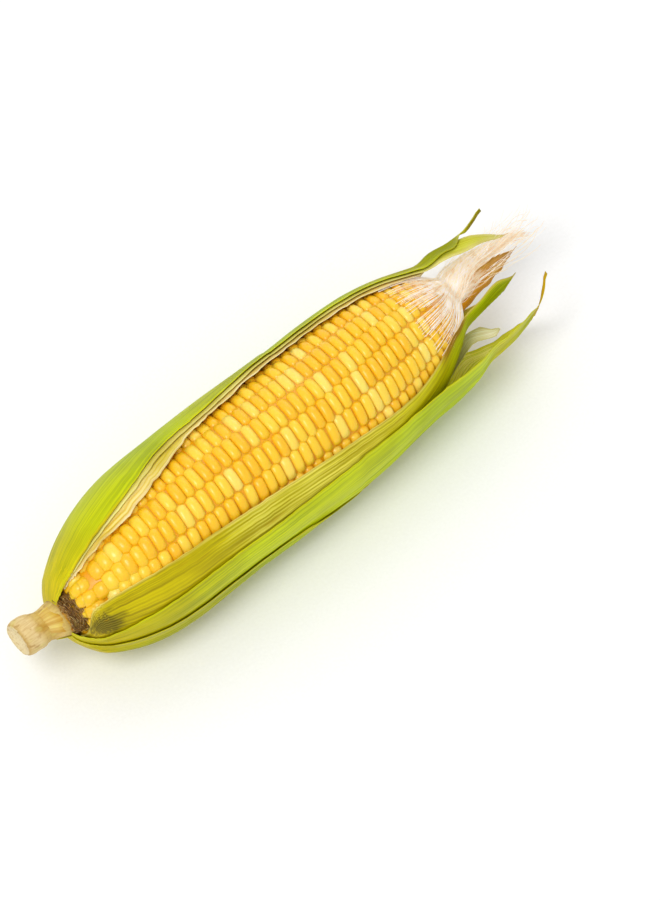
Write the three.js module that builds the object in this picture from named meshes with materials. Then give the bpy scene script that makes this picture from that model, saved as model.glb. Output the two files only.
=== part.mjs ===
// An ear of sweetcorn lying on its back husk, with the front husks peeled away from the kernels.
// Millimetres, +Z up. The ear lies along +X: cut shank at -X, silk at +X.
// The frame's origin is the middle of the box's underside.
import * as THREE from "three";

const { degToRad, lerp, clamp, smoothstep } = THREE.MathUtils;

// Driving dimensions.
const COB_LENGTH = 174; // from the first kernels to the last
const COB_RADIUS = 26; // over the kernels at the thickest stretch
const ROWS = 18; // rows of kernels round the cob
const ROW_GROOVE = 1.1; // depth of the groove between two rows
const COB_BEND = 6.5; // how far the tip has grown sideways, towards +Y
const SHANK_LENGTH = 26; // from the cut end to the first kernels
const SHANK_CUT_RADIUS = 6.8; // at the flared cut end
const SHANK_NECK_RADIUS = 5.6; // where the husks grow from it
const BASE_SAG = 3.2; // how far the cob's base sits towards -Y
const HUSK = 0.5; // thickness of one husk leaf
const GAP = 0.3; // clearance between neighbouring pieces
const FLATTENING = 1.85; // how far the ear's weight presses the lowest husk flat

// A station is a place along the ear: -1 is the cut end, 0 the first kernels, 1 the cob's tip.
const STATIONS = [
  -0.54, -0.43, -0.32, -0.21, -0.1, 0, 0.03, 0.06, 0.1, 0.15, 0.21, 0.29, 0.37, 0.45, 0.53,
  0.6, 0.67, 0.73, 0.78, 0.82, 0.86, 0.9, 0.935, 0.965, 1, 1.03, 1.06, 1.09, 1.12, 1.15, 1.18, 1.21,
];
const HUSK_START = -0.1; // the innermost husk leaf grows from here
const HUSK_STEP = 0.11; // each leaf further out grows this much nearer to the cut end
const FLARE_END = 0.21; // the husk has opened to the cob's full width here
const TAPER_START = 0.6; // the cob begins to narrow towards its tip here

// Angles go round the ear in degrees: 0 is straight up, 90 is -Y, 180 is down, 270 is +Y.
const ANGLE_STEP = 10; // every leaf has its mesh lines at the same angles
const LEAST_STEP = 0.15; // lines past a leaf's edge are gathered beside it, this far apart
const NEAR_FOLD = [110, 120]; // on -Y, leaves pass from their place on the flank to that below
const FAR_FOLD = [240, 260]; // the same on +Y

const stationX = (t) => t * (t < 0 ? SHANK_LENGTH : COB_LENGTH);

// A smooth curve through [station, value] pairs that never swings past them.
function along(...knots) {
  const steps = knots.slice(1).map(([t, value], i) => (value - knots[i][1]) / (t - knots[i][0]));
  const slopes = knots.map((_, i) => {
    const before = steps[i - 1] ?? 0;
    const after = steps[i] ?? 0;
    return before * after > 0 ? (2 * before * after) / (before + after) : 0;
  });
  return (t) => {
    const next = knots.findIndex((knot) => knot[0] >= t);
    if (next === 0) return knots[0][1];
    if (next < 0) return knots.at(-1)[1];
    const [from, low] = knots[next - 1];
    const [to, high] = knots[next];
    const w = (t - from) / (to - from);
    const eased = lerp(low, high, w * w * (3 - 2 * w));
    const lean = slopes[next - 1] * (1 - w) - slopes[next] * w;
    return eased + (to - from) * w * (1 - w) * lean;
  };
}

// The ear's middle line sags to -Y at the cob's base and leans to +Y towards the tip.
function middleY(t) {
  const base = t < 0 ? smoothstep(t, -1, -0.1) : Math.max(0, (0.35 - t) / 0.35) ** 1.5;
  const tip = Math.max(0, (t - TAPER_START) / (1 - TAPER_START)) ** 1.5;
  return COB_BEND * tip - BASE_SAG * base;
}

function cobRadius(t) {
  const base = 0.4 * Math.max(0, (0.3 - t) / 0.3) ** 4.5;
  const tip = clamp((t - TAPER_START) / (1 - TAPER_START), 0, 1);
  const thinner = 0.03 * clamp(1 - t, 0, 1);
  return COB_RADIUS * (1 - base - thinner) * (1 - tip ** 2.8) ** 0.64;
}

// The inside of the innermost husk: on the shank, flaring over the cob's base, along the cob, and
// closing on itself past the cob's tip.
function huskRadius(t) {
  const x = stationX(t);
  const start = stationX(HUSK_START - 2.6 * HUSK_STEP);
  const end = stationX(FLARE_END);
  if (x < end) {
    const toGo = Math.min(1, (end - x) / (end - start));
    const flare = lerp(SHANK_NECK_RADIUS, COB_RADIUS, (1 - toGo ** 2) ** (2 / 3));
    return Math.max(flare, cobRadius(t)) + GAP;
  }
  const snug = t < TAPER_START ? COB_RADIUS : cobRadius(t);
  const closed = COB_RADIUS * (0.38 - 0.6 * (t - 1)) * smoothstep(t, 0.8, 0.95);
  return (snug ** 6 + closed ** 6) ** (1 / 6) + GAP;
}

// A point at a station, an angle and a distance from the middle line.
function place(t, angle, radius) {
  const a = degToRad(angle);
  return new THREE.Vector3(stationX(t), middleY(t) - radius * Math.sin(a), radius * Math.cos(a));
}

// A thin curved sheet with closed edges: a box bent round the ear.
// It runs over the stations between from and to, and between two angles at each of them.
function sheet({ from, to, near, far, inner, thickness, floor = Infinity }) {
  const stations = STATIONS.filter((t) => t > from - 1e-6 && t < to + 1e-6);
  const low = stations.map((t) => Math.min(near(t), far(t)));
  const high = stations.map((t) => Math.max(near(t), far(t)));
  const first = Math.ceil(Math.min(...low) / ANGLE_STEP - 1);
  const across = Math.floor(Math.max(...high) / ANGLE_STEP + 1) - first;
  const geometry = new THREE.BoxGeometry(1, 1, 1, stations.length - 1, across, 1);
  const position = geometry.getAttribute("position");
  for (let i = 0; i < position.count; i++) {
    const station = Math.round((position.getX(i) + 0.5) * (stations.length - 1));
    const line = Math.round((0.5 - position.getY(i)) * across);
    const t = stations[station];
    const lowest = low[station] + LEAST_STEP * line;
    const highest = high[station] - LEAST_STEP * (across - line);
    const angle = clamp(ANGLE_STEP * (first + line), lowest, highest);
    const outside = position.getZ(i) > 0;
    const point = place(t, angle, inner(t, angle) + (outside ? thickness(t) : 0));
    point.z = Math.max(point.z, outside ? -floor : thickness(t) - floor);
    position.setXYZ(i, ...point);
  }
  geometry.deleteAttribute("uv");
  geometry.computeVertexNormals();
  return geometry;
}

// How far an angle is tucked under the ear: 0 on its two flanks, 1 underneath.
function tucked(angle) {
  return smoothstep(angle, ...NEAR_FOLD) * (1 - smoothstep(angle, ...FAR_FOLD));
}

// One husk leaf. layers are its places in the wrap, counted from the cob, on the flank and below.
// lift is how far it stands off the leaf inside it.
function huskLeaf({ layers, to, lift = () => 0, ...rest }) {
  const [flank, below] = layers;
  const from = HUSK_START - HUSK_STEP * (below - 1);
  const inner = (t, angle) => {
    const layer = Math.min(lerp(flank, below, tucked(angle)) - 1, (t - from) / HUSK_STEP);
    return huskRadius(t) + layer * (HUSK + GAP) + lift(t, angle);
  };
  return sheet({ from, to, inner, thickness: () => HUSK, ...rest });
}

function shank() {
  const neck = SHANK_NECK_RADIUS;
  const cut = SHANK_CUT_RADIUS;
  const end = -GAP;
  const start = -SHANK_LENGTH;
  const outline = new THREE.SplineCurve([
    new THREE.Vector2(cut * 0.93, start),
    new THREE.Vector2(cut, start * 0.93),
    new THREE.Vector2(cut * 0.98, start * 0.76),
    new THREE.Vector2(lerp(neck, cut, 0.25), start * 0.66),
    new THREE.Vector2(neck, start * 0.5),
    new THREE.Vector2(neck, end),
  ]).getPoints(15);
  const lowered = new THREE.Vector2(0, start * 0.97); // the cut face is slightly hollow
  const geometry = new THREE.LatheGeometry([lowered, ...outline, new THREE.Vector2(0, end)], 28);
  geometry.rotateZ(-Math.PI / 2);
  return bend(geometry);
}

// The cob with its kernels: rows divided by grooves, narrowing to the tip.
function cob() {
  const perRow = 3;
  const stations = [0, 0.03, 0.06, 0.1, 0.15, 0.21, 0.29, 0.4, 0.5, 0.6];
  stations.push(0.67, 0.73, 0.78, 0.82, 0.86, 0.9, 0.935, 0.965, 0.985);
  const outline = stations.map((t) => new THREE.Vector2(cobRadius(t), stationX(t)));
  const first = new THREE.Vector2(0, 0);
  const last = new THREE.Vector2(0, COB_LENGTH);
  const geometry = new THREE.LatheGeometry([first, ...outline, last], ROWS * perRow);
  const position = geometry.getAttribute("position");
  for (let i = 0; i < position.count; i++) {
    const radius = Math.hypot(position.getX(i), position.getZ(i));
    if (radius < 1) continue;
    const turn = Math.atan2(position.getX(i), position.getZ(i)) / (2 * Math.PI);
    const inGroove = Math.abs(turn * ROWS - Math.round(turn * ROWS)) < 0.1;
    const share = inGroove ? 1 - ROW_GROOVE / COB_RADIUS : 1;
    position.setX(i, position.getX(i) * share);
    position.setZ(i, position.getZ(i) * share);
  }
  geometry.rotateZ(-Math.PI / 2);
  return bend(geometry);
}

// Moves a straight piece onto the ear's middle line.
function bend(geometry) {
  const position = geometry.getAttribute("position");
  for (let i = 0; i < position.count; i++) {
    const x = position.getX(i);
    const t = x / (x < 0 ? SHANK_LENGTH : COB_LENGTH);
    position.setY(i, position.getY(i) + middleY(t));
  }
  geometry.computeVertexNormals();
  return geometry;
}

// The leaf whose golden tip lies under the silk.
function innerBack() {
  return huskLeaf({
    layers: [1, 1],
    to: 1.18,
    near: along([-0.1, 130], [0.1, 125], [0.86, 128], [0.965, 150], [1.03, 161], [1.12, 160], [1.18, 168]),
    far: along(
      [-0.1, 225], [0.1, 235], [0.78, 235], [0.86, 222], [0.9, 212], [1.03, 212], [1.12, 200],
      [1.18, 172],
    ),
  });
}

// The straw-green leaf along the kernels' near edge.
function innerNear() {
  return huskLeaf({
    layers: [1, 2],
    to: 1.12,
    near: along(
      [-0.21, 66], [-0.1, 44], [0, 36], [0.1, 41], [0.26, 46.5], [0.47, 52.5], [0.6, 56],
      [0.78, 62], [0.86, 60], [0.9, 58], [0.935, 62], [1, 80], [1.06, 82], [1.12, 96],
    ),
    far: along([-0.21, 165], [0.1, 172], [0.86, 172], [0.965, 180], [1.03, 168], [1.09, 134], [1.12, 106]),
    lift: along([-0.21, 0], [0.965, 0], [1.03, 0.8], [1.12, 2.2]),
  });
}

// The short leaf whose tip curls away between the two near leaves.
function curledNear() {
  return huskLeaf({
    layers: [3, 3],
    to: 1.03,
    near: along([-0.32, 128], [0.1, 125], [0.86, 126], [0.965, 122], [1, 112], [1.03, 110]),
    far: along([-0.32, 152], [0.1, 150], [0.86, 150], [0.965, 144], [1, 132], [1.03, 124]),
    lift: along([-0.32, 0], [0.86, 0], [0.935, 0.5], [0.965, 2], [1, 5.5], [1.03, 9]),
  });
}

// How far the two outermost leaves on the near side stand off past the cob's shoulder.
const nearLift = along(
  [-0.54, 0], [0.6, 0], [0.73, 0.2], [0.78, 0.9], [0.82, 2.1], [0.86, 4.4], [0.9, 7.2], [0.935, 10],
  [0.965, 12], [1, 13.4], [1.06, 14.6], [1.12, 14.4], [1.15, 12.8], [1.18, 9.8],
);

// The bright green leaf on the near flank, with a dried tip that ends in a thread.
function outerNear() {
  return huskLeaf({
    layers: [2, 4],
    to: 1.18,
    near: along(
      [-0.43, 88], [-0.21, 88], [0, 80], [0.06, 74], [0.18, 71], [0.39, 74], [0.6, 72], [0.75, 75],
      [0.84, 78], [0.95, 85], [1, 90], [1.09, 94], [1.12, 104], [1.15, 107], [1.18, 108],
    ),
    far: along(
      [-0.43, 150], [0.1, 158], [0.9, 160], [0.95, 166], [1, 154], [1.09, 138], [1.12, 116],
      [1.15, 110.5], [1.18, 111],
    ),
    lift: nearLift,
  });
}

// The outermost leaf, which the ear lies on.
function outerUnder() {
  const outermost = 5;
  const roundOutside = COB_RADIUS + GAP + (outermost - 1) * (HUSK + GAP) + HUSK;
  return huskLeaf({
    layers: [3, outermost],
    to: 0.9,
    near: along([-0.54, 110], [-0.1, 104], [0.1, 100], [0.3, 104], [0.6, 124], [0.78, 138], [0.9, 158]),
    far: along([-0.54, 215], [0.1, 228], [0.5, 226], [0.7, 212], [0.82, 192], [0.9, 166]),
    lift: nearLift,
    floor: roundOutside - FLATTENING,
  });
}

// The pale membrane on the kernels' far edge.
function innerFar() {
  return huskLeaf({
    layers: [1, 2],
    to: 1,
    near: along([-0.21, 192], [0.1, 188], [0.82, 190], [0.9, 215], [0.965, 262], [1, 285]),
    far: along(
      [-0.21, 349], [-0.1, 350], [0, 352], [0.1, 354], [0.13, 354], [0.18, 351], [0.29, 340],
      [0.39, 330], [0.49, 326], [0.6, 320], [0.7, 320], [0.8, 323], [0.9, 326], [0.935, 326], [1, 314],
    ),
    lift: (t, angle) => 0.25 * farLift(t, angle),
  });
}

// How far the outermost leaf on the far side stands off at an angle.
const farLiftAtEdge = along(
  [-0.43, 0], [0.06, 0], [0.18, 0.3], [0.39, 0.6], [0.6, 0.5], [0.82, 0.3], [0.9, 0.7], [0.95, 1.8],
  [1, 2.7], [1.05, 0.6], [1.09, 0.7], [1.12, 2.2], [1.15, 4.1],
);
function farLift(t, angle) {
  return farLiftAtEdge(t) * smoothstep(angle, FAR_FOLD[0] - 4, FAR_FOLD[0] + 52);
}

// The bright green leaf that stands off the far flank and ends in a withered thread.
function outerFar() {
  return huskLeaf({
    layers: [3, 4],
    to: 1.15,
    near: along(
      [-0.43, 210], [0.1, 205], [0.82, 205], [0.9, 232], [0.965, 258], [1.03, 280], [1.06, 288],
      [1.09, 290], [1.15, 291],
    ),
    far: along(
      [-0.43, 352], [-0.21, 350], [0, 348], [0.1, 345], [0.18, 340], [0.29, 328], [0.39, 324],
      [0.49, 319], [0.6, 314], [0.7, 315.5], [0.8, 318], [0.9, 322], [1, 328], [1.04, 328],
      [1.06, 320], [1.09, 297], [1.15, 295],
    ),
    lift: farLift,
  });
}

// The leaf inside it, with a lime-green tip that leans over the silk.
function middleFar() {
  return huskLeaf({
    layers: [2, 3],
    to: 1.15,
    near: along(
      [-0.32, 215], [0.1, 212], [0.82, 212], [0.9, 238], [0.965, 262], [1.03, 285], [1.06, 305],
      [1.09, 328], [1.12, 350], [1.15, 370],
    ),
    far: along(
      [-0.32, 345], [0, 343], [0.1, 340], [0.18, 335], [0.29, 324], [0.39, 320], [0.49, 315],
      [0.6, 310], [0.7, 311.5], [0.8, 314], [0.9, 319], [1, 334], [1.03, 341], [1.06, 348],
      [1.09, 355], [1.12, 365], [1.15, 375],
    ),
    lift: (t, angle) => 0.9 * farLift(t, angle) * (1 - smoothstep(t, 1.06, 1.12)),
  });
}

// The torn base of the peeled front leaves, a short collar on the shank.
function tornBase() {
  return sheet({
    from: -0.43,
    to: -0.21,
    near: along([-0.43, 50], [-0.32, 58], [-0.21, 62]),
    far: along([-0.43, -4], [-0.32, -5], [-0.21, -6]),
    inner: (t) => huskRadius(t) - 0.4 * Math.max(0, huskRadius(t) - SHANK_NECK_RADIUS - GAP),
    thickness: () => HUSK,
  });
}

// Dry brown silk caught between the torn base and the first kernels.
function drySilk() {
  const corner = cobRadius(0) + GAP;
  const cone = along([-0.21, 0.56 * corner], [-0.1, 0.8 * corner], [0, corner]);
  return sheet({
    from: -0.21,
    to: 0.03,
    near: along([-0.21, 50], [-0.1, 34], [0, 26], [0.03, 24]),
    far: along([-0.21, 0], [-0.1, -6], [0, -6], [0.03, -5]),
    inner: (t) => (t < 0 ? cone(t) : cobRadius(t) + GAP),
    thickness: () => HUSK,
  });
}

// The silk: it comes out over the cob's tip and gathers into one loose tress.
function silk() {
  const snug = (t) => cobRadius(t) + GAP;
  const start = 0.9;
  const free = 0.965; // from here on the tress leaves the kernels
  const tress = along(
    [free, snug(free)], [1, 5.4], [1.06, 3.6], [1.12, 2.8], [1.15, 3.2], [1.18, 4.4], [1.21, 7.5],
  );
  return sheet({
    from: start,
    to: 1.21,
    near: along([start, 40], [0.935, 44], [free, 48], [1.03, 50], [1.12, 82], [1.18, 104], [1.21, 102]),
    far: along([start, -28], [0.935, -28], [free, -36], [1.03, -66], [1.12, -30], [1.18, 60], [1.21, 84]),
    inner: (t) => (t < free ? snug(t) : Math.max(snug(t), tress(t))),
    thickness: along([start, 0.5], [0.935, 0.7], [free, 1.2], [1.03, 3], [1.12, 2.8], [1.21, 1.4]),
  });
}

function material(colour, roughness) {
  return new THREE.MeshStandardMaterial({ color: colour, roughness, metalness: 0 });
}

const brightGreen = material(0xa9bf12, 0.5);
const strawGreen = material(0xb0a436, 0.55);
const pieces = {
  shank: [shank(), material(0xdcc895, 0.6)],
  cob: [cob(), material(0xf9c81e, 0.35)],
  husk_inner_back: [innerBack(), material(0xd9a02c, 0.55)],
  husk_inner_near: [innerNear(), strawGreen],
  husk_inner_far: [innerFar(), material(0xead98f, 0.5)],
  husk_middle_far: [middleFar(), brightGreen],
  husk_curled_near: [curledNear(), brightGreen],
  husk_outer_near: [outerNear(), brightGreen],
  husk_outer_far: [outerFar(), brightGreen],
  husk_outer_under: [outerUnder(), brightGreen],
  husk_torn_base: [tornBase(), strawGreen],
  silk_dry: [drySilk(), material(0x5e3d14, 0.8)],
  silk_tress: [silk(), material(0xe9d3b4, 0.6)],
};

const ear = new THREE.Group();
for (const [name, [geometry, look]] of Object.entries(pieces)) {
  const mesh = new THREE.Mesh(geometry, look);
  mesh.name = name;
  ear.add(mesh);
}

const box = new THREE.Box3().setFromObject(ear, true);
const middle = box.getCenter(new THREE.Vector3());
const corn = new THREE.Group();
ear.position.set(-middle.x, -middle.y, -box.min.z);
corn.add(ear);

export default corn;
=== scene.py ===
import functools
import math
import random

import bmesh
import bpy
from mathutils import Matrix, Vector, noise


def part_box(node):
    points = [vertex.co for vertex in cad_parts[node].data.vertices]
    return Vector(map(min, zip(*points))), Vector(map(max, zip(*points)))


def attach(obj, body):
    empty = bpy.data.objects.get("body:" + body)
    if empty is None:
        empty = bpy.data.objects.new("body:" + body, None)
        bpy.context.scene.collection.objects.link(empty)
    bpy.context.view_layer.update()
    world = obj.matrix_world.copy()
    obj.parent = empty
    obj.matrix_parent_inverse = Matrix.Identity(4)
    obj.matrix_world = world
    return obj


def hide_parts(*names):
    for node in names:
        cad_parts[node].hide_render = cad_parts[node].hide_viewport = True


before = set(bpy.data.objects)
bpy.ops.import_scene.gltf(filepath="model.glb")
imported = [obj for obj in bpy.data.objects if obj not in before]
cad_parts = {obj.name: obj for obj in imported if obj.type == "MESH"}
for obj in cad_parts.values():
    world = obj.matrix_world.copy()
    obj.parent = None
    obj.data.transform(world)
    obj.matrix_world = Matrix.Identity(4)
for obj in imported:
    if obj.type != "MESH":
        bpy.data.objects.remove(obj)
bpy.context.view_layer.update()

# The ear's middle line
# An ear of sweetcorn grows along one gently bent line: straight under most of the cob, sagging
# to -Y at the cob's base and leaning to +Y at the tip. A station is a place along it: -1 is the
# cut end of the shank, 0 the first kernels and 1 the cob's tip. Angles go round it in degrees:
# 0 is up, 90 is -Y.
MM = 0.001
cob_low, cob_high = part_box("cob")
COB_LENGTH = cob_high.x - cob_low.x
SHANK_LENGTH = cob_low.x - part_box("shank")[0].x
AXIS_Z = (cob_low.z + cob_high.z) / 2
AXIS_Y = cob_low.y + 1.022 * (cob_high.z - cob_low.z) / 2  # the sagging base reaches 2.2% further
COB_BEND = 6.5 * MM
BASE_SAG = 3.2 * MM
TAPER_START = 0.6  # from here the cob narrows to its tip


def clamp(value, low=0.0, high=1.0):
    return max(low, min(high, value))


def smoothstep(value, low, high):
    w = clamp((value - low) / (high - low))
    return w * w * (3 - 2 * w)


@functools.lru_cache(maxsize=None)
def station_x(t):
    return cob_low.x + t * (SHANK_LENGTH if t < 0 else COB_LENGTH)


@functools.lru_cache(maxsize=None)
def middle_y(t):
    base = smoothstep(t, -1, -0.1) if t < 0 else max(0, (0.35 - t) / 0.35) ** 1.5
    tip = max(0, (t - TAPER_START) / (1 - TAPER_START)) ** 1.5
    return AXIS_Y + COB_BEND * tip - BASE_SAG * base


def place(t, angle, radius):
    a = math.radians(angle)
    return Vector((station_x(t), middle_y(t) - radius * math.sin(a), AXIS_Z + radius * math.cos(a)))


# Camera, light and floor
# The ear lies on a plain white table under soft studio light. The camera looks down on it from
# the cut end's side, along the view in which the ear runs up to the right.
LENS = 400.0  # a long lens, so the two ends of the ear keep their true sizes
SENSOR = 36.0
SOFTBOX_DISTANCE = 1.1
FRAME_HEIGHT = 0.3042  # height of the view at the ear
AZIMUTH = math.radians(-40.85)
ELEVATION = math.radians(60)
back = Vector(
    (
        math.sin(AZIMUTH) * math.cos(ELEVATION),
        -math.cos(AZIMUTH) * math.cos(ELEVATION),
        math.sin(ELEVATION),
    )
)
aim = Vector((station_x(0.5905), AXIS_Y - 10.9 * MM, AXIS_Z - 3.8 * MM))
camera = bpy.data.objects.new("camera", bpy.data.cameras.new("camera"))
bpy.context.scene.collection.objects.link(camera)
camera.data.lens = LENS
camera.data.sensor_width = SENSOR
camera.data.clip_start = 0.01
camera.location = aim + back * (FRAME_HEIGHT * LENS / SENSOR)
camera.rotation_euler = back.to_track_quat("Z", "Y").to_euler()
bpy.context.scene.camera = camera


def softbox(name, azimuth, elevation, size, watts):
    a, e = math.radians(azimuth), math.radians(elevation)
    away = Vector((math.sin(a) * math.cos(e), -math.cos(a) * math.cos(e), math.sin(e)))
    lamp = bpy.data.objects.new(name, bpy.data.lights.new(name, "AREA"))
    lamp.data.shape = "DISK"
    lamp.data.size = size
    lamp.data.energy = watts
    lamp.location = Vector((0, 0, AXIS_Z)) + away * SOFTBOX_DISTANCE
    lamp.rotation_euler = away.to_track_quat("Z", "Y").to_euler()
    bpy.context.scene.collection.objects.link(lamp)


softbox("key_softbox", azimuth=-78, elevation=58, size=0.5, watts=5)
softbox("fill_softbox", azimuth=130, elevation=42, size=0.9, watts=2)

world = bpy.data.worlds.new("studio")
world.use_nodes = True
world.node_tree.nodes["Background"].inputs["Color"].default_value = (1, 1, 1, 1)
world.node_tree.nodes["Background"].inputs["Strength"].default_value = 0.72
bpy.context.scene.world = world
bpy.context.scene.view_settings.view_transform = "Standard"

bm = bmesh.new()
bmesh.ops.create_grid(bm, x_segments=1, y_segments=1, size=3)
floor_mesh = bpy.data.meshes.new("floor")
bm.to_mesh(floor_mesh)
bm.free()
floor = bpy.data.objects.new("floor", floor_mesh)
bpy.context.scene.collection.objects.link(floor)


def linear(hex_colour):
    """An sRGB hex colour as a linear RGBA."""
    channels = [int(hex_colour[i : i + 2], 16) / 255 for i in (0, 2, 4)]
    return [c / 12.92 if c <= 0.04045 else ((c + 0.055) / 1.055) ** 2.4 for c in channels] + [1]


def new_material(name):
    made = bpy.data.materials.new(name)
    made.use_nodes = True
    return made, made.node_tree.nodes["Principled BSDF"]


def add(made, kind, settings=None, **links):
    """Adds a node. settings are its properties and input values; links name what feeds an input."""
    node = made.node_tree.nodes.new(kind)
    for key, value in (settings or {}).items():
        if key in node.inputs.keys():
            node.inputs[key].default_value = value
        else:
            setattr(node, key, value)
    for socket, source in links.items():
        index = int(socket[1:]) if socket[1:].isdigit() else socket.replace("_", " ")
        made.node_tree.links.new(source, node.inputs[index])
    return node


# White laminate table: an even matt surface with a trace of grain.
TABLE_GRAIN = 900  # grains to a metre, 1.1 mm each
table_laminate, shader = new_material("white_table_laminate")
shader.inputs["Roughness"].default_value = 0.6
coordinates = add(table_laminate, "ShaderNodeTexCoord")
grain = add(
    table_laminate, "ShaderNodeTexNoise", {"Scale": TABLE_GRAIN, "Detail": 2},
    Vector=coordinates.outputs["Object"],
)
tone = add(table_laminate, "ShaderNodeValToRGB", Fac=grain.outputs["Fac"])
tone.color_ramp.elements[0].color = linear("f6f6f5")
tone.color_ramp.elements[1].color = linear("ffffff")
table_laminate.node_tree.links.new(tone.outputs["Color"], shader.inputs["Base Color"])
floor.data.materials.append(table_laminate)

# Cob and kernels
# Eighteen rows of kernels grown on one cob. Each kernel is a plump wedge with a domed crown, wide
# round the ear and narrow along it, pressed against its neighbours. They are larger and rounder
# at the base, where they bulge over the shank, and small at the tip. Each has its own yellow.
COB_RADIUS = (cob_high.z - cob_low.z) / 2 / 0.988  # the formula's widest place is 1.2% slimmer
ROWS = 18
ROW_START = 3.4  # the angle of one row's middle
BASE_DOME = 8.5 * MM  # how far the crowded kernels at the base bulge over the shank
DOME_START = station_x(0.004)
STEEPEST = 2.5  # rows of kernels climb the dome no steeper than this
KERNEL_DEPTH = 5.6 * MM
KERNEL_LEAN = -3  # degrees
CORE_DEPTH = 1.5 * MM  # how far below the kernels' surface the cob's own surface lies
CORE_START = station_x(0) - 0.6 * BASE_DOME
random.seed(7)


def lerp(a, b, w):
    return a + (b - a) * w


def along(*knots):
    """A smooth curve through (station, value) pairs that never swings past them."""
    steps = [(b[1] - a[1]) / (b[0] - a[0]) for a, b in zip(knots, knots[1:])]
    slopes = [0.0]
    for before, after in zip(steps, steps[1:]):
        slopes.append(2 * before * after / (before + after) if before * after > 0 else 0.0)
    slopes.append(0.0)

    @functools.lru_cache(maxsize=None)
    def value(t):
        if t <= knots[0][0]:
            return knots[0][1]
        for i, ((start, low), (end, high)) in enumerate(zip(knots, knots[1:])):
            if t <= end:
                w = (t - start) / (end - start)
                lean = slopes[i] * (1 - w) - slopes[i + 1] * w
                return lerp(low, high, w * w * (3 - 2 * w)) + (end - start) * w * (1 - w) * lean
        return knots[-1][1]

    return value


KERNEL_PITCH = along(
    (0, 5.8 * MM), (0.06, 5.0 * MM), (0.12, 4.5 * MM), (0.3, 4.2 * MM), (1, 3.7 * MM)
)


@functools.lru_cache(maxsize=None)
def cob_radius(t):
    """The cob with its kernels: full in the middle, drawn in at the base, rounded to the tip."""
    base = 0.4 * max(0, (0.3 - t) / 0.3) ** 4.5
    tip = clamp((t - TAPER_START) / (1 - TAPER_START))
    thinner = 0.03 * clamp(1 - t)
    return COB_RADIUS * (1 - base - thinner) * (1 - tip**2.8) ** 0.64


def kernel_radius(x):
    """The kernels' surface: the cob's own shape, closed by a dome at its base."""
    into_dome = (DOME_START - x) / BASE_DOME
    return cob_radius(station_of(max(x, DOME_START))) * (1 - clamp(into_dome) ** 2.2) ** 0.5


def station_of(x):
    return (x - station_x(0)) / (SHANK_LENGTH if x < station_x(0) else COB_LENGTH)


def kernel_shape(crown, boxiness):
    """One kernel, 2 wide each way and centred: a subdivided cube, rounded, its crown lifted."""
    shape = bmesh.new()
    bmesh.ops.create_cube(shape, size=2)
    bmesh.ops.subdivide_edges(shape, edges=shape.edges[:], cuts=2, use_grid_fill=True)
    for v in shape.verts:
        outline = (abs(v.co.x) ** boxiness + abs(v.co.y) ** boxiness) ** (1 / boxiness)
        v.co /= (outline**2.6 + abs(v.co.z) ** 2.6) ** (1 / 2.6)
        if v.co.z > 0:
            v.co.z += crown * max(0, 1 - v.co.x**2 - v.co.y**2)
    bmesh.ops.recalc_face_normals(shape, faces=shape.faces[:])
    mesh = bpy.data.meshes.new("kernel_shape")
    shape.to_mesh(mesh)
    shape.free()
    return mesh


plump_kernels = [kernel_shape(0.08, 4.0), kernel_shape(0.04, 4.6), kernel_shape(-0.06, 4.3)]
round_kernel = kernel_shape(0.08, 3.3)


def lathe(profile, steps):
    """Turns (station, radius) pairs about the ear's middle line."""
    turned = bmesh.new()
    points = [turned.verts.new((station_x(t), 0, radius)) for t, radius in profile]
    edges = [turned.edges.new(pair) for pair in zip(points, points[1:])]
    bmesh.ops.spin(
        turned, geom=points + edges, cent=(0, 0, 0), axis=(1, 0, 0), angle=2 * math.pi,
        steps=steps, use_merge=True,
    )
    bmesh.ops.remove_doubles(turned, verts=turned.verts[:], dist=0.01 * MM)
    return turned


def onto_middle_line(turned):
    for v in turned.verts:
        v.co.y += middle_y(station_of(v.co.x))
        v.co.z += AXIS_Z
    bmesh.ops.recalc_face_normals(turned, faces=turned.faces[:])
    for face in turned.faces:
        face.smooth = True


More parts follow.
